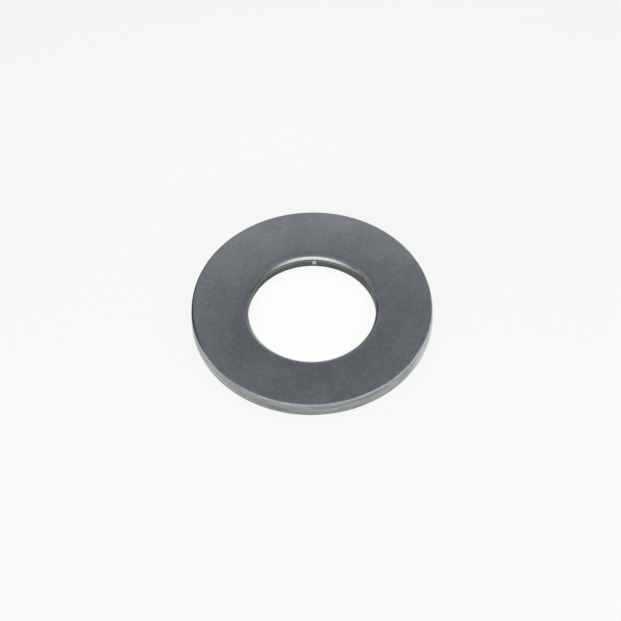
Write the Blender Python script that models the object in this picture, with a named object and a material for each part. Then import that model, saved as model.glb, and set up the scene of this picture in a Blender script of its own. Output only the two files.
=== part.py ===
"""Flat washer, stamped from steel strip: one turned ring with the edges that a punch and die leave.

Metres, +Z up. The washer lies on the XY plane with its axis on Z, so the origin is the middle of the
face that it rests on. The hole is punched downwards: its upper edge is drawn in to a deep rounded
lip, and its lower end breaks out a little wider. The outside is blanked the other way up: its lower
edge is rolled over, and it narrows a little to an upper edge that tumbling has blunted.
"""
from math import cos, pi, sin

import bmesh
import bpy

MM = 0.001

# Driving dimensions
OUTER_DIAMETER = 51.0 * MM
HOLE_DIAMETER = 26.9 * MM
THICKNESS = 3.6 * MM

# Edges and tapers that stamping leaves, each as (radial width, height)
HOLE_LIP = (1.20 * MM, 1.50 * MM)
HOLE_BREAKOUT = (0.10 * MM, 1.70 * MM)
RIM_ROLL = (0.30 * MM, 0.30 * MM)
RIM_BREAKOUT = (0.06 * MM, 1.80 * MM)
HOLE_EDGE = (0.25 * MM, 0.25 * MM)
RIM_EDGE = (0.40 * MM, 0.40 * MM)

# Facets
STEPS_AROUND = 96
ROLL_STEPS = 6
EDGE_STEPS = 3
CREASE_ANGLE = 40 * pi / 180

STEEL_COLOUR = (0.30, 0.32, 0.34, 1.0)
STEEL_ROUGHNESS = 0.42
STEEL_METALLIC = 1.0


def clear_scene():
    for thing in list(bpy.data.objects):
        bpy.data.objects.remove(thing, do_unlink=True)


def steel():
    material = bpy.data.materials.new("satin_grey_steel")
    material.use_nodes = True
    shader = material.node_tree.nodes["Principled BSDF"]
    shader.inputs["Base Color"].default_value = STEEL_COLOUR
    shader.inputs["Roughness"].default_value = STEEL_ROUGHNESS
    shader.inputs["Metallic"].default_value = STEEL_METALLIC
    return material


def quarter(centre, half_axes, start, steps):
    """Points on a quarter of an ellipse, counter-clockwise from the angle start."""
    (x, z), (width, height) = centre, half_axes
    angles = [start + pi / 2 * step / steps for step in range(steps + 1)]
    return [(x + width * cos(angle), z + height * sin(angle)) for angle in angles]


def section():
    """The ring's section at +X as (radius, height) points, counter-clockwise seen from -Y."""
    rim = OUTER_DIAMETER / 2
    hole = HOLE_DIAMETER / 2
    rim_top = rim - RIM_BREAKOUT[0]
    hole_bottom = hole + HOLE_BREAKOUT[0]
    rolled_rim = quarter((rim - RIM_ROLL[0], RIM_ROLL[1]), RIM_ROLL, -pi / 2, ROLL_STEPS)
    rim_taper_start = (rim, THICKNESS - RIM_BREAKOUT[1])
    rim_edge = quarter((rim_top - RIM_EDGE[0], THICKNESS - RIM_EDGE[1]), RIM_EDGE, 0, EDGE_STEPS)
    hole_lip = quarter((hole + HOLE_LIP[0], THICKNESS - HOLE_LIP[1]), HOLE_LIP, pi / 2, ROLL_STEPS)
    hole_taper_start = (hole, HOLE_BREAKOUT[1])
    hole_edge = quarter((hole_bottom + HOLE_EDGE[0], HOLE_EDGE[1]), HOLE_EDGE, pi, EDGE_STEPS)
    return rolled_rim + [rim_taper_start] + rim_edge + hole_lip + [hole_taper_start] + hole_edge


def washer():
    """Turn the section once round Z and close the seam."""
    shape = bmesh.new()
    corners = [shape.verts.new((radius, 0, height)) for radius, height in section()]
    outline = [shape.edges.new(pair) for pair in zip(corners, corners[1:] + corners[:1])]
    bmesh.ops.spin(shape, geom=corners + outline, cent=(0, 0, 0), axis=(0, 0, 1), angle=2 * pi,
                   steps=STEPS_AROUND, use_merge=True)
    bmesh.ops.recalc_face_normals(shape, faces=shape.faces)
    mesh = bpy.data.meshes.new("washer")
    shape.to_mesh(mesh)
    shape.free()
    mesh.shade_smooth()
    mesh.set_sharp_from_angle(angle=CREASE_ANGLE)
    mesh.materials.append(steel())
    ring = bpy.data.objects.new("washer", mesh)
    bpy.context.scene.collection.objects.link(ring)


clear_scene()
washer()
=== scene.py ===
"""Stamped flat washer: a Geometry Nodes ring with satin steel, on a pale studio floor."""
import math
from collections import namedtuple

import bpy
from bpy.props import FloatProperty, FloatVectorProperty, IntProperty, PointerProperty
from mathutils import Matrix, Vector


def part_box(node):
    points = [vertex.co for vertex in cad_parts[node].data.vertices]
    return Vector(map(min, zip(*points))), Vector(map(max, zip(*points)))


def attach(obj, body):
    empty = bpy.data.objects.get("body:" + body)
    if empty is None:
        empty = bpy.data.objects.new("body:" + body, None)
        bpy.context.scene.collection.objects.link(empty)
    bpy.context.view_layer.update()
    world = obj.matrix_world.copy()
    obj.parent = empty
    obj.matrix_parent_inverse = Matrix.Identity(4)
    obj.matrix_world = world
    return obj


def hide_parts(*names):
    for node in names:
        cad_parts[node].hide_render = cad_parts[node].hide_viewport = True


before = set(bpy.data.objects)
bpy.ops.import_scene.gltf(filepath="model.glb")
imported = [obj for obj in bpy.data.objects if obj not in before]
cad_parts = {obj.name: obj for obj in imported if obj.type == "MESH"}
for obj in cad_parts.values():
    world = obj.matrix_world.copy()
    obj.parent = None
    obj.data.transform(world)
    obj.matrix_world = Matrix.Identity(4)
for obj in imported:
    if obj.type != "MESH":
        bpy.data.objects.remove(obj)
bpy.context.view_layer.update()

bl_info = {
    "name": "Stamped Washer",
    "version": (1, 0, 0),
    "blender": (4, 5, 0),
    "location": "View3D > Sidebar > Washer",
    "description": "Makes a stamped flat washer and the studio it is shown in",
    "category": "Object",
}

MM = 0.001
CAD_NODE = "washer"
CAD_BODY = "root"
STEEL_SLOT = "satin_grey_steel"
RING_NAME = "stamped_washer"

low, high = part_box(CAD_NODE)
cad_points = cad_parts[CAD_NODE].data.vertices
cad_hole = 2 * min(math.hypot(v.co.x, v.co.y) for v in cad_points)


# --- Settings -------------------------------------------------------------------------------------

class RingSizes(bpy.types.PropertyGroup):
    """Sizes of the stamped ring."""
    outer_diameter: FloatProperty(
        name="Outer Diameter", description="Across the burnished part of the rim",
        default=high.x - low.x, min=0.001, unit="LENGTH", precision=5)
    hole_diameter: FloatProperty(
        name="Hole Diameter", description="Across the burnished part of the hole",
        default=cad_hole, min=0.0005, unit="LENGTH", precision=5)
    thickness: FloatProperty(
        name="Thickness", description="Thickness of the steel strip",
        default=high.z - low.z, min=0.0002, unit="LENGTH", precision=5)
    lip_width: FloatProperty(
        name="Lip Width", description="Width of the drawn-in upper edge of the hole",
        default=1.2 * MM, min=0.0, unit="LENGTH", precision=5)
    lip_height: FloatProperty(
        name="Lip Height", description="Height of the drawn-in upper edge of the hole",
        default=1.5 * MM, min=0.0, unit="LENGTH", precision=5)
    roll_width: FloatProperty(
        name="Roll Width", description="Width of the rolled-over lower edge of the rim",
        default=0.3 * MM, min=0.0, unit="LENGTH", precision=5)
    roll_height: FloatProperty(
        name="Roll Height", description="Height of the rolled-over lower edge of the rim",
        default=0.3 * MM, min=0.0, unit="LENGTH", precision=5)
    rim_edge: FloatProperty(
        name="Rim Edge", description="Radius of the rim's upper edge",
        default=0.4 * MM, min=0.0, unit="LENGTH", precision=5)
    hole_edge: FloatProperty(
        name="Hole Edge", description="Radius of the hole's lower edge",
        default=0.25 * MM, min=0.0, unit="LENGTH", precision=5)
    hole_breakout: FloatProperty(
        name="Hole Breakout", description="How far the torn hole wall leans outwards",
        default=0.10 * MM, min=0.0, unit="LENGTH", precision=5)
    hole_tear: FloatProperty(
        name="Hole Tear Height", description="Height of the torn part of the hole wall",
        default=1.7 * MM, min=0.0, unit="LENGTH", precision=5)
    rim_breakout: FloatProperty(
        name="Rim Breakout", description="How far the torn rim leans inwards",
        default=0.06 * MM, min=0.0, unit="LENGTH", precision=5)
    rim_tear: FloatProperty(
        name="Rim Tear Height", description="Height of the torn part of the rim",
        default=1.8 * MM, min=0.0, unit="LENGTH", precision=5)
    burnish_height: FloatProperty(
        name="Burnish Height", description="Middle of the bright crescent in the hole",
        default=2.84 * MM, min=0.0, unit="LENGTH", precision=5)
    burnish_width: FloatProperty(
        name="Burnish Width", description="Height of the bright crescent at its middle",
        default=0.56 * MM, min=0.0, unit="LENGTH", precision=5)
    unevenness: FloatProperty(
        name="Unevenness", description="Slow wander of the surface left by the press",
        default=0.012 * MM, min=0.0, unit="LENGTH", precision=6)
    tear_relief: FloatProperty(
        name="Tear Relief", description="Depth of the grain on the torn walls",
        default=0.03 * MM, min=0.0, unit="LENGTH", precision=6)
    steps_around: IntProperty(
        name="Steps Around", description="Segments round the ring",
        default=840, min=24, subtype="UNSIGNED")
    wall_step: FloatProperty(
        name="Wall Step", description="Spacing of the mesh rows on the walls",
        default=0.17 * MM, min=0.00001, unit="LENGTH", precision=5)
    face_step: FloatProperty(
        name="Face Step", description="Spacing of the mesh rows on the flat faces",
        default=0.8 * MM, min=0.00005, unit="LENGTH", precision=5)


class SteelFinish(bpy.types.PropertyGroup):
    """Colours and finish of the steel."""
    face_colour: FloatVectorProperty(
        name="Face Colour", description="Rolled faces of the strip",
        default=(0.268, 0.290, 0.305), min=0, max=1, size=3, subtype="COLOR")
    patch_colour: FloatVectorProperty(
        name="Patch Colour", description="Bluer patches on the faces",
        default=(0.265, 0.281, 0.315), min=0, max=1, size=3, subtype="COLOR")
    wall_colour: FloatVectorProperty(
        name="Wall Colour", description="Burnished part of the walls",
        default=(0.294, 0.303, 0.311), min=0, max=1, size=3, subtype="COLOR")
    tear_colour: FloatVectorProperty(
        name="Tear Colour", description="Torn part of the rim",
        default=(0.322, 0.333, 0.342), min=0, max=1, size=3, subtype="COLOR")
    # Darker steel of the hole's steep part: partly a duller finish, partly painted shade at the back and
    # sides of the hole.
    hole_colour: FloatVectorProperty(
        name="Hole Colour", description="Steep part of the hole, dulled by punch oil",
        default=(0.128, 0.137, 0.142), min=0, max=1, size=3, subtype="COLOR")
    # Painted shade: dark marks on the hole's +X side and along the rim's upper edge on the -X side.
    shade_colour: FloatVectorProperty(
        name="Shade Colour", description="Dull marks in the hole and on the rim",
        default=(0.05, 0.052, 0.054), min=0, max=1, size=3, subtype="COLOR")
    # Painted highlight: the near-white crescent at the back of the hole and the bright spot in its wall.
    burnish_colour: FloatVectorProperty(
        name="Burnish Colour", description="Bright crescent in the hole, and the nick",
        default=(0.96, 0.97, 0.98), min=0, max=1, size=3, subtype="COLOR")
    # Painted highlight along the rim's upper edge, the hole's front edge and the sides of its lip.
    edge_colour: FloatVectorProperty(
        name="Edge Colour", description="Edges of the rim and the hole that tumbling has worn lighter",
        default=(0.50, 0.51, 0.52), min=0, max=1, size=3, subtype="COLOR")
    face_roughness: FloatProperty(
        name="Face Roughness", description="Satin of the rolled faces",
        default=0.36, min=0, max=1, subtype="FACTOR")
    wall_roughness: FloatProperty(
        name="Wall Roughness", description="Burnished part of the walls",
        default=0.34, min=0, max=1, subtype="FACTOR")
    tear_roughness: FloatProperty(
        name="Tear Roughness", description="Torn part of the walls",
        default=0.55, min=0, max=1, subtype="FACTOR")
    burnish_roughness: FloatProperty(
        name="Burnish Roughness", description="Polish of the bright crescent",
        default=0.28, min=0, max=1, subtype="FACTOR")


class StudioSettings(bpy.types.PropertyGroup):
    """The floor, the light and the camera."""
    floor_colour: FloatVectorProperty(
        name="Floor Colour", description="Pale floor sheet",
        default=(0.985, 1.0, 0.98), min=0, max=1, size=3, subtype="COLOR")
    floor_shade: FloatProperty(
        name="Floor Shade", description="Share of the lamp light that the sheet returns",
        default=0.25, min=0, max=1, subtype="FACTOR")
    floor_glow: FloatProperty(
        name="Floor Glow", description="Light that comes up through the floor sheet",
        default=0.80, min=0, soft_max=2, subtype="FACTOR")
    tent_shade: FloatProperty(
        name="Tent Shade", description="Brightness of the tent over and behind the washer",
        default=0.35, min=0, soft_max=2, subtype="FACTOR")
    tent_front: FloatProperty(
        name="Tent Front", description="Brightness of the tent low down in front",
        default=0.92, min=0, soft_max=2, subtype="FACTOR")
    lamp_power: FloatProperty(
        name="Lamp Power", description="Power of the overhead soft box",
        default=0.6, min=0, subtype="POWER")
    rear_power: FloatProperty(
        name="Rear Lamp Power", description="Power of the small lamp behind the washer",
        default=0.0049, min=0, subtype="POWER")
    elevation: FloatProperty(
        name="Elevation", description="Camera height angle over the floor",
        default=math.radians(53.45), subtype="ANGLE")
    roll: FloatProperty(
        name="Roll", description="Turn of the camera about its own view line",
        default=math.radians(-1.30), subtype="ANGLE")
    distance: FloatProperty(
        name="Distance", description="Camera distance from the washer",
        default=1.4595, min=0.05, unit="LENGTH")
    lens: FloatProperty(
        name="Lens", description="Focal length in millimetres",
        default=400.0, min=10, unit="CAMERA")
    aim: FloatVectorProperty(
        name="Aim", description="Point at the middle of the view",
        default=(-0.00031, 0.00124, 0.00087), size=3, subtype="XYZ", unit="LENGTH", precision=5)


# --- Node helpers ---------------------------------------------------------------------------------

# A noise texture: its scale per metre, its detail, roughness and seed, and how it is squeezed along XYZ.
Pattern = namedtuple("Pattern", "scale detail roughness seed squeeze", defaults=[None])


def add(tree, kind, settings=None, **inputs):
    """Adds a node. Each input is named with underscores for spaces, or numbered as n0, n1 and so on.
    Its value is a socket or a constant."""
    node = tree.nodes.new(kind)
    for key, value in (settings or {}).items():
        setattr(node, key, value)
    for key, value in inputs.items():
        numbered = key[0] == "n" and key[1:].isdigit()
        feed(tree, node.inputs[int(key[1:]) if numbered else key.replace("_", " ")], value)
    return node


def feed(tree, socket, value):
    if isinstance(value, bpy.types.NodeSocket):
        tree.links.new(value, socket)
    else:
        socket.default_value = value


def maths(tree, operation, *values):
    node = tree.nodes.new("ShaderNodeMath")
    node.operation = operation
    for socket, value in zip(node.inputs, values):
        feed(tree, socket, value)
    return node.outputs[0]


def product(tree, first, *others):
    for other in others:
        first = maths(tree, "MULTIPLY", first, other)
    return first


def vector(tree, operation, *values, scale=None):
    """The vector that the operation gives, or the number if it gives a length."""
    node = tree.nodes.new("ShaderNodeVectorMath")
    node.operation = operation
    for socket, value in zip(node.inputs, values):
        feed(tree, socket, value)
    if scale is not None:
        feed(tree, node.inputs["Scale"], scale)
    return node.outputs["Value" if operation == "LENGTH" else "Vector"]


def pair(tree, x, y):
    return add(tree, "ShaderNodeCombineXYZ", X=x, Y=y).outputs[0]


def split(tree, place):
    return add(tree, "ShaderNodeSeparateXYZ", Vector=place).outputs


def ramp(tree, value, start, end, low_value=0.0, high_value=1.0):
    """Smooth step of value from low_value at start to high_value at end."""
    node = add(tree, "ShaderNodeMapRange", {"interpolation_type": "SMOOTHSTEP"}, Value=value,
               From_Min=start, From_Max=end, To_Min=low_value, To_Max=high_value)
    return node.outputs[0]


def mix(tree, mask, first, second):
    return add(tree, "ShaderNodeMix", {"data_type": "FLOAT"}, n0=mask, n2=first, n3=second).outputs[0]


def blend(tree, mask, first, second):
    """Mix of two colours."""
    return add(tree, "ShaderNodeMix", {"data_type": "RGBA"}, n0=mask, n6=first, n7=second).outputs[2]


def noise(tree, place, pattern):
    if pattern.squeeze:
        place = vector(tree, "MULTIPLY", place, pattern.squeeze)
    return add(tree, "ShaderNodeTexNoise", {"noise_dimensions": "4D"}, Vector=place, W=pattern.seed,
               Scale=pattern.scale, Detail=pattern.detail, Roughness=pattern.roughness).outputs[0]


# --- The ring's section ---------------------------------------------------------------------------

QUARTER = math.pi / 2
CORNER_STEPS = 8
BEND_RADIUS = 3.0 * MM

RING_INPUTS = (
    ("Outer Diameter", "outer_diameter", "NodeSocketFloat"),
    ("Hole Diameter", "hole_diameter", "NodeSocketFloat"),
    ("Thickness", "thickness", "NodeSocketFloat"),
    ("Lip Width", "lip_width", "NodeSocketFloat"),
    ("Lip Height", "lip_height", "NodeSocketFloat"),
    ("Roll Width", "roll_width", "NodeSocketFloat"),
    ("Roll Height", "roll_height", "NodeSocketFloat"),
    ("Rim Edge", "rim_edge", "NodeSocketFloat"),
    ("Hole Edge", "hole_edge", "NodeSocketFloat"),
    ("Hole Breakout", "hole_breakout", "NodeSocketFloat"),
    ("Hole Tear Height", "hole_tear", "NodeSocketFloat"),
    ("Rim Breakout", "rim_breakout", "NodeSocketFloat"),
    ("Rim Tear Height", "rim_tear", "NodeSocketFloat"),
    ("Burnish Height", "burnish_height", "NodeSocketFloat"),
    ("Burnish Width", "burnish_width", "NodeSocketFloat"),
    ("Unevenness", "unevenness", "NodeSocketFloat"),
    ("Tear Relief", "tear_relief", "NodeSocketFloat"),
    ("Steps Around", "steps_around", "NodeSocketInt"),
    ("Wall Step", "wall_step", "NodeSocketFloat"),
    ("Face Step", "face_step", "NodeSocketFloat"),
)


def rim_arcs(tree, size, hole):
    """The rim's rolled lower edge, the bend where it starts to lean in, and its upper edge."""
    wall = maths(tree, "SUBTRACT", maths(tree, "MULTIPLY", size["Outer Diameter"], 0.5), hole)
    top, edge = size["Thickness"], size["Rim Edge"]
    roll = (size["Roll Width"], size["Roll Height"])
    lean = maths(tree, "ARCTAN2", size["Rim Breakout"], size["Rim Tear Height"])
    bend = (maths(tree, "SUBTRACT", wall, BEND_RADIUS),
            maths(tree, "SUBTRACT", top, size["Rim Tear Height"]))
    edge_start = maths(tree, "SUBTRACT", maths(tree, "SUBTRACT", wall, size["Rim Breakout"]), edge)
    return (
        ((maths(tree, "SUBTRACT", wall, roll[0]), roll[1]), roll, (-QUARTER, QUARTER)),
        (bend, (BEND_RADIUS, BEND_RADIUS), (0.0, lean)),
        ((edge_start, maths(tree, "SUBTRACT", top, edge)), (edge, edge),
         (lean, maths(tree, "SUBTRACT", QUARTER, lean))),
    )


def hole_arcs(tree, size):
    """The hole's rounded lip, the bend where its wall starts to lean out, and its lower edge."""
    top, edge = size["Thickness"], size["Hole Edge"]
    lip = (size["Lip Width"], size["Lip Height"])
    lean = maths(tree, "ARCTAN2", size["Hole Breakout"], size["Hole Tear Height"])
    return (
        ((lip[0], maths(tree, "SUBTRACT", top, lip[1])), lip, (QUARTER, QUARTER)),
        ((BEND_RADIUS, size["Hole Tear Height"]), (BEND_RADIUS, BEND_RADIUS), (2 * QUARTER, lean)),
        ((maths(tree, "ADD", size["Hole Breakout"], edge), edge), (edge, edge),
         (maths(tree, "ADD", 2 * QUARTER, lean), maths(tree, "SUBTRACT", QUARTER, lean))),
    )


def section_curve(tree, size, hole):
    """The closed section as a curve, with X outwards from the hole's wall and the height along -Y.
    It joins six rounded corners, each with a centre, half axes, and a start angle and sweep."""
    arcs = rim_arcs(tree, size, hole) + hole_arcs(tree, size)
    points_each = CORNER_STEPS + 1
    index = tree.nodes.new("GeometryNodeInputIndex").outputs[0]
    corner = maths(tree, "FLOOR", maths(tree, "DIVIDE", maths(tree, "ADD", index, 0.5), points_each))
    step = maths(tree, "SUBTRACT", index, maths(tree, "MULTIPLY", corner, points_each))
    centre, half_axes, turn = (pick(tree, corner, [pair(tree, *arc[part]) for arc in arcs])
                               for part in range(3))
    start, sweep, _ = split(tree, turn)
    angle = maths(tree, "MULTIPLY_ADD", sweep, maths(tree, "DIVIDE", step, CORNER_STEPS), start)
    round_point = pair(tree, maths(tree, "COSINE", angle), maths(tree, "SINE", angle))
    place = vector(tree, "MULTIPLY_ADD", round_point, half_axes, centre)
    line = add(tree, "GeometryNodeCurvePrimitiveLine")
    points = add(tree, "GeometryNodeResampleCurve", Curve=line.outputs[0],
                 Count=points_each * len(arcs))
    placed = add(tree, "GeometryNodeSetPosition", Geometry=points.outputs[0],
                 Position=vector(tree, "MULTIPLY", place, (1, -1, 1)))
    closed = add(tree, "GeometryNodeSetSplineCyclic", Geometry=placed.outputs[0], Cyclic=True)
    return add(tree, "GeometryNodeSubdivideCurve", Curve=closed.outputs[0],
               Cuts=row_cuts(tree, size)).outputs[0]


def pick(tree, index, values):
    """The vector at that place in the list."""
    node = add(tree, "GeometryNodeIndexSwitch", {"data_type": "VECTOR"}, Index=index)
    while len(node.index_switch_items) < len(values):
        node.index_switch_items.new()
    for number, value in enumerate(values):
        feed(tree, node.inputs[str(number)], value)
    return node.outputs[0]


def row_cuts(tree, size):
    """Cuts in each segment of the section: close rows on the walls, wide rows on the faces."""
    here = tree.nodes.new("GeometryNodeInputPosition").outputs[0]
    after = add(tree, "GeometryNodeOffsetPointInCurve", Offset=1).outputs["Point Index"]
    there = add(tree, "GeometryNodeFieldAtIndex", {"data_type": "FLOAT_VECTOR", "domain": "POINT"},
                Value=here, Index=after).outputs[0]
    step = split(tree, vector(tree, "SUBTRACT", there, here))
    rows = [maths(tree, "DIVIDE", maths(tree, "ABSOLUTE", step[axis]), size[spacing])
            for axis, spacing in (("X", "Face Step"), ("Y", "Wall Step"))]
    return maths(tree, "FLOOR", maths(tree, "MAXIMUM", *rows))


# --- Marks on the ring ----------------------------------------------------------------------------

# Where each mark starts and ends, as the last arguments of ramp(). UP is how level the surface is,
# ASIDE and AHEAD run from -1 to 1 along X and Y, REACH is ASIDE without its sign, and the rest are
# distances. The crescent's MIDDLE, RIGHT, LEFT and ENDs are measured along ASIDE.
WALL_UP = (0.95, 0.3)
ROUNDED_UP = (0.98, 0.85)
INSIDE_BLEND = 0.1 * MM
RAGGED_TEAR = 0.5 * MM
TEAR_BLEND = 0.1 * MM
# The hole's steep part at its back and sides, darker: partly a duller finish, partly painted shade.
DEEP_UP = (0.75, 0.5)
DEEP_AHEAD = (-0.6, -0.2)

# Painted highlights on the rim's upper edge, the hole's front edge and the sides of its lip.
RIM_EDGE_BELOW = (0.55 * MM, 0.25 * MM)
RIM_EDGE_ASIDE = (-0.75, -0.3)
HOLE_EDGE_AHEAD = (-0.1, -0.7)
HOLE_EDGE_ASIDE = (0.7, 0.2)
LIP_SIDE_UP = ((0.95, 0.85), (0.35, 0.55))
LIP_SIDE_REACH = ((0.62, 0.76), (0.95, 0.82))
LIP_SIDE_AHEAD = (0.1, 0.4)
LIP_SIDE_SHARE = (-0.5, 0.5, 0.20, 0.36)

# Painted shade on the hole's +X side, and on the rim's upper edge on the -X side and at its rear left.
STEEP_AHEAD = (0.0, 0.35, 0.0, 0.45)
STEEP_UP = (0.9, 0.72)
HOLE_SHADE_ASIDE = (0.5, 0.85)
RIM_SHADE_INWARDS = (0.5 * MM, 0.25 * MM)
RIM_SHADE_BELOW = (0.5 * MM, 0.3 * MM)
RIM_SHADE_ASIDE = (-0.88, -1.0)
REAR_SHADE_ASIDE = (-0.35, -0.9, 0.0, 0.95)
REAR_SHADE_AHEAD = (-0.1, 0.2)

# Painted highlight: the bright crescent on the +Y side of the hole.
CRESCENT_MIDDLE = 0.07
CRESCENT_RIGHT = 0.88
CRESCENT_LEFT = 1.05
CRESCENT_FADE = (1.0, 0.136)
CRESCENT_RIGHT_END = (0.80, 0.67)
CRESCENT_LEFT_END = (-0.88, -0.60)
CRESCENT_TAPER = (0.0, 1.0, 0.5, 1.0)
CRESCENT_RAGGED = 0.25
CRESCENT_BLEND = 0.12 * MM

# Painted glint: a bright spot in the wall of the hole.
GLINT_X = 0.72 * MM
GLINT_HEIGHT = 1.42 * MM
GLINT_ALONG = (0.50 * MM, 0.26 * MM)
GLINT_UPWARDS = (0.74 * MM, 0.48 * MM)

RAGGED = Pattern(700.0, 3.0, 0.5, 8.3)
WANDER = Pattern(90.0, 1.0, 0.5, 4.1)
TORN_GRAIN = Pattern(2600.0, 3.0, 0.6, 6.2, (1, 1, 0.5))

# Fields that say where a point lies. Below and inwards are its distances from the top and the rim,
# and inside is 1 from the lip inwards.
Spot = namedtuple("Spot", "x y height up aside ahead below inwards inside")


def find_spot(tree, size, hole):
    here = tree.nodes.new("GeometryNodeInputPosition").outputs[0]
    up = split(tree, tree.nodes.new("GeometryNodeInputNormal").outputs[0])["Z"]
    x, y, height = split(tree, here)
    across = vector(tree, "LENGTH", vector(tree, "MULTIPLY", here, (1, 1, 0)))
    lip_end = maths(tree, "ADD", size["Lip Width"], INSIDE_BLEND)
    return Spot(x, y, height, up,
                aside=maths(tree, "DIVIDE", x, across),
                ahead=maths(tree, "DIVIDE", y, across),
                below=maths(tree, "SUBTRACT", size["Thickness"], height),
                inwards=maths(tree, "SUBTRACT", maths(tree, "MULTIPLY", size["Outer Diameter"], 0.5),
                              across),
                inside=ramp(tree, maths(tree, "SUBTRACT", across, hole), lip_end, size["Lip Width"]))


def surface_marks(tree, size, hole):
    """The marks by name, each a field from 0 to 1."""
    spot = find_spot(tree, size, hole)
    here = tree.nodes.new("GeometryNodeInputPosition").outputs[0]
    ragged = maths(tree, "MULTIPLY", maths(tree, "SUBTRACT", noise(tree, here, RAGGED), 0.5), RAGGED_TEAR)
    wall = ramp(tree, maths(tree, "ABSOLUTE", spot.up), *WALL_UP)
    rear_half = maths(tree, "GREATER_THAN", spot.y, 0.0)
    # The hole's darker steep part is partly painted shade; the shaded marks are painted shade; the light
    # edges, the crescent and the bright spot are painted highlights.
    return {"wall": wall,
            "torn": maths(tree, "MULTIPLY", torn_walls(tree, size, spot, ragged), wall),
            "deep": product(tree, spot.inside, ramp(tree, spot.up, *DEEP_UP),
                            ramp(tree, spot.ahead, *DEEP_AHEAD)),
            "shaded": dull_marks(tree, spot),
            "edge": light_edges(tree, spot),
            "burnish_highlight": product(tree, spot.inside, crescent(tree, size, spot, ragged), rear_half),
            "glint": product(tree, spot.inside, glint(tree, spot), rear_half)}


def torn_walls(tree, size, spot, ragged):
    """The lower part of the hole's wall and the upper part of the rim, with a ragged border."""
    level = maths(tree, "ADD", spot.height, ragged)
    rim_line = maths(tree, "SUBTRACT", size["Thickness"], size["Rim Tear Height"])
    hole_torn = ramp(tree, maths(tree, "SUBTRACT", level, size["Hole Tear Height"]),
                     TEAR_BLEND, -TEAR_BLEND)
    rim_torn = ramp(tree, maths(tree, "SUBTRACT", level, rim_line), -TEAR_BLEND, TEAR_BLEND)
    return mix(tree, spot.inside, rim_torn, hole_torn)


def light_edges(tree, spot):
    """Painted highlights on the rim's upper edge, the front edge of the hole, and two short stretches of
    its lip.
    """
    rounded = ramp(tree, spot.up, *ROUNDED_UP)
    rim_edge = product(tree, maths(tree, "SUBTRACT", 1.0, spot.inside),
                       ramp(tree, spot.below, *RIM_EDGE_BELOW),
                       ramp(tree, spot.aside, *RIM_EDGE_ASIDE), rounded)
    hole_edge = product(tree, spot.inside, rounded, ramp(tree, spot.ahead, *HOLE_EDGE_AHEAD),
                        ramp(tree, spot.aside, *HOLE_EDGE_ASIDE))
    reach = maths(tree, "ABSOLUTE", spot.aside)
    lip_side = product(tree, spot.inside,
                       *(ramp(tree, spot.up, *limits) for limits in LIP_SIDE_UP),
                       *(ramp(tree, reach, *limits) for limits in LIP_SIDE_REACH),
                       ramp(tree, spot.ahead, *LIP_SIDE_AHEAD), ramp(tree, spot.aside, *LIP_SIDE_SHARE))
    return maths(tree, "MAXIMUM", maths(tree, "MAXIMUM", rim_edge, hole_edge), lip_side)


def dull_marks(tree, spot):
    """Painted shade on the hole's +X side, and on the rim's upper edge on the -X side."""
    steep = ramp(tree, maths(tree, "ADD", spot.up, ramp(tree, spot.ahead, *STEEP_AHEAD)), *STEEP_UP)
    hole_shade = product(tree, spot.inside, ramp(tree, spot.aside, *HOLE_SHADE_ASIDE), steep)
    rear = product(tree, ramp(tree, spot.aside, *REAR_SHADE_ASIDE),
                   ramp(tree, spot.ahead, *REAR_SHADE_AHEAD))
    rim_shade = product(tree, ramp(tree, spot.inwards, *RIM_SHADE_INWARDS),
                        ramp(tree, spot.below, *RIM_SHADE_BELOW),
                        maths(tree, "MAXIMUM", ramp(tree, spot.aside, *RIM_SHADE_ASIDE), rear))
    return maths(tree, "MAXIMUM", hole_shade, rim_shade)


def crescent(tree, size, spot, ragged):
    """The bright crescent on the +Y side of the hole: a painted highlight on a smoother band."""
    off_middle = maths(tree, "SUBTRACT", spot.aside, CRESCENT_MIDDLE)
    along = maths(tree, "MAXIMUM", maths(tree, "DIVIDE", off_middle, CRESCENT_RIGHT),
                  maths(tree, "DIVIDE", off_middle, -CRESCENT_LEFT))
    fade = ramp(tree, along, *CRESCENT_FADE)
    half = product(tree, size["Burnish Width"], 0.5, ramp(tree, fade, *CRESCENT_TAPER))
    level = maths(tree, "MULTIPLY_ADD", ragged, CRESCENT_RAGGED, spot.height)
    off = maths(tree, "ABSOLUTE", maths(tree, "SUBTRACT", level, size["Burnish Height"]))
    return product(tree, fade, ramp(tree, spot.aside, *CRESCENT_RIGHT_END),
                   ramp(tree, spot.aside, *CRESCENT_LEFT_END),
                   ramp(tree, maths(tree, "SUBTRACT", off, half), CRESCENT_BLEND, -CRESCENT_BLEND))


def glint(tree, spot):
    """One painted glint: a bright spot in the wall of the hole."""
    along = maths(tree, "ABSOLUTE", maths(tree, "SUBTRACT", spot.x, GLINT_X))
    upwards = maths(tree, "ABSOLUTE", maths(tree, "SUBTRACT", spot.height, GLINT_HEIGHT))
    return product(tree, ramp(tree, along, *GLINT_ALONG), ramp(tree, upwards, *GLINT_UPWARDS))


def press_marks(tree, size, torn):
    """How far each point moves along its normal: a slow wander, and the grain of the torn walls."""
    here = tree.nodes.new("GeometryNodeInputPosition").outputs[0]
    wander = maths(tree, "SUBTRACT", noise(tree, here, WANDER), 0.5)
    grain = maths(tree, "SUBTRACT", noise(tree, here, TORN_GRAIN), 0.5)
    tear = maths(tree, "MULTIPLY", torn, maths(tree, "MULTIPLY", grain, size["Tear Relief"]))
    return maths(tree, "ADD", maths(tree, "MULTIPLY", wander, size["Unevenness"]), tear)


# --- The ring -------------------------------------------------------------------------------------

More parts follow.
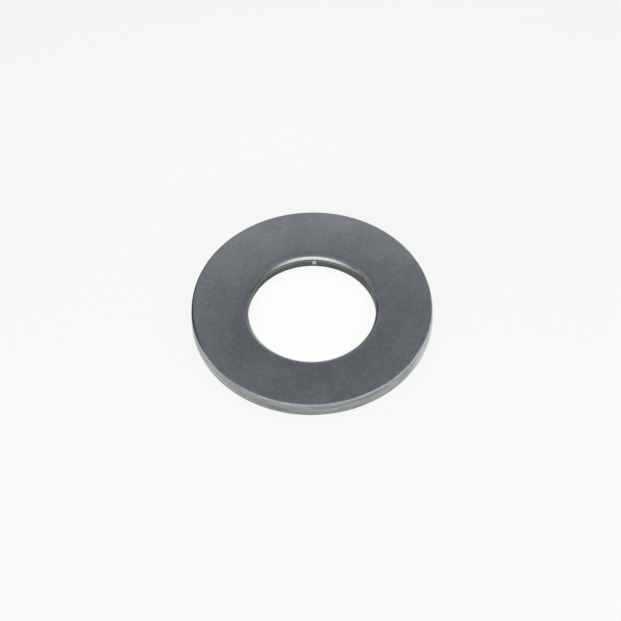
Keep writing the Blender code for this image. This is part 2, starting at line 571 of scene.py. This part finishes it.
def ring_tree():
    """Sweeps the section round the hole, stores the marks and adds the relief."""
    tree = bpy.data.node_groups.new("Stamped Ring", "GeometryNodeTree")
    tree.is_modifier = True
    for label, _, kind in RING_INPUTS:
        tree.interface.new_socket(label, in_out="INPUT", socket_type=kind)
    tree.interface.new_socket("Steel", in_out="INPUT", socket_type="NodeSocketMaterial")
    tree.interface.new_socket("Geometry", in_out="OUTPUT", socket_type="NodeSocketGeometry")
    size = tree.nodes.new("NodeGroupInput").outputs
    hole = maths(tree, "MULTIPLY", size["Hole Diameter"], 0.5)
    path = add(tree, "GeometryNodeCurvePrimitiveCircle", Resolution=size["Steps Around"], Radius=hole)
    upright = add(tree, "GeometryNodeSetCurveNormal", {"mode": "Z_UP"}, Curve=path.outputs[0])
    swept = add(tree, "GeometryNodeCurveToMesh", Curve=upright.outputs[0],
                Profile_Curve=section_curve(tree, size, hole))
    shape = add(tree, "GeometryNodeFlipFaces", Mesh=swept.outputs[0]).outputs[0]
    for name, field in surface_marks(tree, size, hole).items():
        shape = add(tree, "GeometryNodeStoreNamedAttribute", {"data_type": "FLOAT", "domain": "POINT"},
                    Geometry=shape, Name=name, Value=field).outputs[0]
    torn = add(tree, "GeometryNodeInputNamedAttribute", {"data_type": "FLOAT"}, Name="torn").outputs[0]
    normal = tree.nodes.new("GeometryNodeInputNormal").outputs[0]
    marked = add(tree, "GeometryNodeSetPosition", Geometry=shape,
                 Offset=vector(tree, "SCALE", normal, scale=press_marks(tree, size, torn)))
    smooth = add(tree, "GeometryNodeSetShadeSmooth", Geometry=marked.outputs[0], Shade_Smooth=True)
    real = add(tree, "GeometryNodeRealizeInstances", Geometry=smooth.outputs[0])
    steel = add(tree, "GeometryNodeSetMaterial", Geometry=real.outputs[0], Material=size["Steel"])
    output = tree.nodes.new("NodeGroupOutput")
    tree.links.new(steel.outputs[0], output.inputs[0])
    return tree


def make_ring(sizes, steel):
    """Runs the tree once and keeps its result as a plain mesh."""
    ring = bpy.data.objects.new(RING_NAME, bpy.data.meshes.new(RING_NAME))
    bpy.context.scene.collection.objects.link(ring)
    modifier = ring.modifiers.new("Stamped Ring", "NODES")
    modifier.node_group = ring_tree()
    sockets = {item.name: item.identifier for item in modifier.node_group.interface.items_tree
               if item.in_out == "INPUT"}
    for label, setting, _ in RING_INPUTS:
        modifier[sockets[label]] = getattr(sizes, setting)
    modifier[sockets["Steel"]] = steel
    evaluated = ring.evaluated_get(bpy.context.evaluated_depsgraph_get())
    mesh = bpy.data.meshes.new_from_object(evaluated)
    ring.modifiers.clear()
    mesh.name = RING_NAME
    ring.data = mesh
    return ring


# --- Steel ----------------------------------------------------------------------------------------

CLOUDS = Pattern(130.0, 2.0, 0.5, 1.3)
MOTTLE = Pattern(1300.0, 4.0, 0.65, 2.7)
ROLLED_GRAIN = Pattern(5200.0, 3.0, 0.6, 3.1, (0.12, 1.0, 1.0))
STREAKS = Pattern(170.0, 4.0, 0.6, 5.9, (1.0, 1.0, 8.0))
LINES = Pattern(110.0, 2.0, 0.5, 4.6, (1.0, 1.0, 26.0))
PATCHES = Pattern(420.0, 1.0, 0.5, 9.4)
PEEL = Pattern(4200.0, 4.0, 0.6, 7.7)

# The last arguments of ramp(): the range of the noise or distance, and the tone at each end of it.
CLOUD_TONE = (0.25, 0.75, 0.92, 1.08)
SPECKLE_TONE = (0.25, 0.75, -0.12, 0.12)
GRAIN_TONE = (0.3, 0.7, -0.04, 0.04)
FACE_ACROSS_TONE = (14 * MM, 26 * MM, 0.96, 1.11)
PATCH_BORDER = (0.42, 0.62)
STREAK_TONE = (0.3, 0.7, 0.78, 1.22)
LINE_TONE = (0.36, 0.6, 0.86, 1.1)
# Painted shade: the walls darken towards the floor.
WALL_FOOT_SHADE = (0.1 * MM, 0.7 * MM, 0.68, 1.02)
# Painted highlights: the rim lighter at its sides, and more so on its +X side.
RIM_SIDES_HIGHLIGHT = (0.5, 0.95, 0.97, 1.3)
RIM_RIGHT_HIGHLIGHT = (0.70, 0.92, 1.0, 1.3)
HOLE_TEAR_TONE = (0.0, 1.0, 1.12, 0.82)
# Painted shade: the hole darker on its -X side.
HOLE_LEFT_SHADE = (-0.45, -0.85, 1.0, 0.62)
# Painted highlight: the hole's edge lighter than the rim's.
EDGE_HIGHLIGHT_ACROSS = (17 * MM, 18 * MM, 1.35, 1.0)
# Tone of the crescent's painted highlight.
CRESCENT_HIGHLIGHT_TONE = (0.3, 0.7, 0.95, 1.0)
# Share of the painted highlight colour in the bright spot.
GLINT_SHARE = 0.5
ROUGHNESS_SPREAD = (0.3, 0.7, -0.03, 0.03)
STREAK_RELIEF = 0.6
RELIEF_DEPTH = 0.004 * MM

MARKS = ("wall", "torn", "deep", "shaded", "edge", "burnish_highlight", "glint")


def satin_steel(finish):
    material = bpy.data.materials.new(STEEL_SLOT)
    material.use_nodes = True
    tree = material.node_tree
    shader = tree.nodes["Principled BSDF"]
    shader.inputs["Metallic"].default_value = 1.0
    place = tree.nodes.new("ShaderNodeTexCoord").outputs["Object"]
    marks = {name: mark(tree, name) for name in MARKS}
    mottle = noise(tree, place, MOTTLE)
    streaks = noise(tree, place, STREAKS)
    tree.links.new(steel_colour(tree, finish, place, marks, mottle, streaks), shader.inputs["Base Color"])
    tree.links.new(steel_roughness(tree, finish, marks, mottle), shader.inputs["Roughness"])
    tree.links.new(steel_relief(tree, place, marks, streaks), shader.inputs["Normal"])
    return material


def mark(tree, name):
    return add(tree, "ShaderNodeAttribute", {"attribute_name": name}).outputs["Fac"]


def tint(tree, colour, tone):
    return vector(tree, "SCALE", tuple(colour), scale=tone)


def steel_colour(tree, finish, place, marks, mottle, streaks):
    """Lays each part's colour over the last one, from the faces to the bright crescent. Painted shade
    darkens the walls towards the floor, the hole's steep part and sides, and the shaded marks; painted
    highlights lighten the rim's sides, the edges, the crescent and the bright spot.
    """
    x, _, height = split(tree, place)
    across = vector(tree, "LENGTH", vector(tree, "MULTIPLY", place, (1, 1, 0)))
    aside = maths(tree, "DIVIDE", x, across)
    speckle = ramp(tree, mottle, *SPECKLE_TONE)
    face_tone = face_shades(tree, place, across, speckle)
    # Streaks and lines of the walls, with painted shade darkening them towards the floor.
    wall_tone_and_foot_shade = product(tree, maths(tree, "ADD", ramp(tree, streaks, *STREAK_TONE), speckle),
                        ramp(tree, noise(tree, place, LINES), *LINE_TONE),
                        ramp(tree, height, *WALL_FOOT_SHADE))
    # Painted highlights: the rim lighter at its sides and on its +X side.
    rim_tone_and_painted_light = product(tree, wall_tone_and_foot_shade, ramp(tree, maths(tree, "ABSOLUTE", aside), *RIM_SIDES_HIGHLIGHT),
                       ramp(tree, aside, *RIM_RIGHT_HIGHLIGHT))
    # The hole's steep part: darker where torn, with painted shade on its -X side.
    hole_tone_and_shade = product(tree, wall_tone_and_foot_shade, ramp(tree, marks["torn"], *HOLE_TEAR_TONE),
                        ramp(tree, aside, *HOLE_LEFT_SHADE))
    # Painted highlight: the hole's edge lighter than the rim's.
    edge_highlight_tone = product(tree, wall_tone_and_foot_shade, ramp(tree, across, *EDGE_HIGHLIGHT_ACROSS))
    bright = maths(tree, "MAXIMUM", marks["burnish_highlight"], maths(tree, "MULTIPLY", marks["glint"], GLINT_SHARE))
    colour = tint(tree, finish.face_colour, face_tone)
    for mask, paint, tone in (
            (ramp(tree, noise(tree, place, PATCHES), *PATCH_BORDER), finish.patch_colour, face_tone),
            (marks["wall"], finish.wall_colour, rim_tone_and_painted_light),
            (marks["torn"], finish.tear_colour, rim_tone_and_painted_light),
            (marks["deep"], finish.hole_colour, hole_tone_and_shade),
            (marks["shaded"], finish.shade_colour, wall_tone_and_foot_shade),
            (marks["edge"], finish.edge_colour, edge_highlight_tone),
            (bright, finish.burnish_colour, ramp(tree, streaks, *CRESCENT_HIGHLIGHT_TONE))):
        colour = blend(tree, mask, colour, tint(tree, paint, tone))
    return colour


def face_shades(tree, place, across, speckle):
    """Tone of the rolled faces: soft clouds, speckle and the grain of rolling along X."""
    clouds = ramp(tree, noise(tree, place, CLOUDS), *CLOUD_TONE)
    grain = ramp(tree, noise(tree, place, ROLLED_GRAIN), *GRAIN_TONE)
    return product(tree, maths(tree, "ADD", maths(tree, "ADD", clouds, speckle), grain),
                   ramp(tree, across, *FACE_ACROSS_TONE))


def steel_roughness(tree, finish, marks, mottle):
    rough = mix(tree, marks["wall"], finish.face_roughness, finish.wall_roughness)
    rough = mix(tree, marks["torn"], rough, finish.tear_roughness)
    rough = mix(tree, marks["burnish_highlight"], rough, finish.burnish_roughness)
    return maths(tree, "ADD", rough, ramp(tree, mottle, *ROUGHNESS_SPREAD))


def steel_relief(tree, place, marks, streaks):
    """A fine peel all over, and the streaks on the walls."""
    wall_streaks = product(tree, marks["wall"], STREAK_RELIEF, streaks)
    relief = maths(tree, "ADD", noise(tree, place, PEEL), wall_streaks)
    return add(tree, "ShaderNodeBump", Height=relief, Distance=RELIEF_DEPTH, Strength=1.0).outputs[0]


# --- Studio ---------------------------------------------------------------------------------------

Lamp = namedtuple("Lamp", "name place target width height")

SOFT_BOX = Lamp("soft_box", place=(0.0, -0.15, 0.55), target=(0, 0, 0), width=1.2, height=0.8)
REAR_LAMP = Lamp("rear_lamp", place=(-0.006, 0.064, 0.050), target=(0, 0.01, 0), width=0.12, height=0.03)

FLOOR_HALF = 3.0
FLOOR_ROUGHNESS = 0.9

# How the sheet's glow changes away from the washer and along Y, as the last arguments of ramp().
GLOW_AWAY = (0.008, 0.032, 1.08, 1.0)
GLOW_AHEAD = (-0.10, 0.10, 1.04, 0.985)

# The tent's tint, and how its brightness changes with the direction. UP and AHEAD run from -1 to 1
# along Z and Y.
TENT_TINT = (0.97, 1.0, 0.985)
HORIZON = 0.90
HORIZON_UP = (0.02, 0.15)
FRONT_UP = (0.40, 0.75)
FRONT_AHEAD = (-0.2, -0.6)

VIEW_END = 20.0


def floor_sheet(studio):
    """A pale translucent sheet, lit mostly from below and a little brighter under the washer."""
    material = bpy.data.materials.new("pale_sheet")
    material.use_nodes = True
    tree = material.node_tree
    shader = tree.nodes["Principled BSDF"]
    shader.inputs["Base Color"].default_value = (*(studio.floor_shade * c for c in studio.floor_colour), 1)
    shader.inputs["Roughness"].default_value = FLOOR_ROUGHNESS
    shader.inputs["Specular IOR Level"].default_value = 0.0
    shader.inputs["Emission Color"].default_value = (*studio.floor_colour, 1)
    place = tree.nodes.new("ShaderNodeTexCoord").outputs["Object"]
    glow = product(tree, ramp(tree, vector(tree, "LENGTH", place), *GLOW_AWAY), studio.floor_glow,
                   ramp(tree, split(tree, place)["Y"], *GLOW_AHEAD))
    tree.links.new(glow, shader.inputs["Emission Strength"])
    half = FLOOR_HALF
    mesh = bpy.data.meshes.new("floor")
    mesh.from_pydata([(-half, -half, 0), (half, -half, 0), (half, half, 0), (-half, half, 0)], [],
                     [(0, 1, 2, 3)])
    mesh.materials.append(material)
    floor = bpy.data.objects.new("floor", mesh)
    bpy.context.scene.collection.objects.link(floor)


def studio_world(studio):
    """A light tent: pale at the horizon and in front, dimmer elsewhere."""
    world = bpy.data.worlds.new("light_tent")
    bpy.context.scene.world = world
    world.use_nodes = True
    tree = world.node_tree
    _, ahead, up = split(tree, tree.nodes.new("ShaderNodeTexCoord").outputs["Generated"])
    around = ramp(tree, up, *HORIZON_UP, HORIZON, studio.tent_shade)
    front = ramp(tree, up, *FRONT_UP, studio.tent_front, studio.tent_shade)
    shade = mix(tree, ramp(tree, ahead, *FRONT_AHEAD), around, front)
    tree.links.new(tint(tree, TENT_TINT, shade), tree.nodes["Background"].inputs["Color"])


def area_lamp(lamp, power):
    light = bpy.data.lights.new(lamp.name, "AREA")
    light.shape = "RECTANGLE"
    light.size = lamp.width
    light.size_y = lamp.height
    light.energy = power
    holder = bpy.data.objects.new(lamp.name, light)
    holder.location = lamp.place
    beam = Vector(lamp.target) - Vector(lamp.place)
    holder.rotation_euler = beam.to_track_quat("-Z", "Y").to_euler()
    holder.visible_camera = False
    bpy.context.scene.collection.objects.link(holder)


def camera(studio):
    data = bpy.data.cameras.new("camera")
    data.lens = studio.lens
    data.clip_end = VIEW_END
    eye = bpy.data.objects.new("camera", data)
    back = Vector((0, -math.cos(studio.elevation), math.sin(studio.elevation)))
    aim = Vector(studio.aim)
    turn = back.to_track_quat("Z", "Y").to_matrix() @ Matrix.Rotation(studio.roll, 3, "Z")
    eye.matrix_world = Matrix.Translation(aim + back * studio.distance) @ turn.to_4x4()
    bpy.context.scene.collection.objects.link(eye)
    bpy.context.scene.camera = eye


# --- Operators and panel --------------------------------------------------------------------------

class WASHER_OT_stage(bpy.types.Operator):
    """Lays the pale floor, sets the soft light and places the camera"""
    bl_idname = "washer.stage"
    bl_label = "Make Stage"

    def execute(self, context):
        studio = context.scene.washer_studio
        floor_sheet(studio)
        studio_world(studio)
        area_lamp(SOFT_BOX, studio.lamp_power)
        area_lamp(REAR_LAMP, studio.rear_power)
        camera(studio)
        context.scene.view_settings.view_transform = "Standard"
        return {"FINISHED"}


class WASHER_OT_ring(bpy.types.Operator):
    """Makes the stamped steel ring"""
    bl_idname = "washer.ring"
    bl_label = "Make Ring"

    def execute(self, context):
        sizes = context.scene.washer_sizes
        ring = make_ring(sizes, satin_steel(context.scene.washer_finish))
        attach(ring, CAD_BODY)
        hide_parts(CAD_NODE)
        return {"FINISHED"}


class WASHER_PT_panel(bpy.types.Panel):
    """The settings of the studio, the ring and its steel, and the two buttons that make them"""
    bl_idname = "WASHER_PT_panel"
    bl_label = "Stamped Washer"
    bl_space_type = "VIEW_3D"
    bl_region_type = "UI"
    bl_category = "Washer"

    def draw(self, context):
        for settings, operator in (("washer_studio", "washer.stage"), ("washer_sizes", None),
                                   ("washer_finish", "washer.ring")):
            group = getattr(context.scene, settings)
            for name in group.__annotations__:
                self.layout.prop(group, name)
            if operator:
                self.layout.operator(operator)


CLASSES = (RingSizes, SteelFinish, StudioSettings, WASHER_OT_stage, WASHER_OT_ring, WASHER_PT_panel)
SETTINGS = {"washer_sizes": RingSizes, "washer_finish": SteelFinish, "washer_studio": StudioSettings}


def register():
    for cls in CLASSES:
        bpy.utils.register_class(cls)
    for name, group in SETTINGS.items():
        setattr(bpy.types.Scene, name, PointerProperty(type=group))


def unregister():
    for name in SETTINGS:
        delattr(bpy.types.Scene, name)
    for cls in reversed(CLASSES):
        bpy.utils.unregister_class(cls)


def main():
    register()
    bpy.ops.washer.stage()
    bpy.ops.washer.ring()


if __name__ == "__main__":
    main()
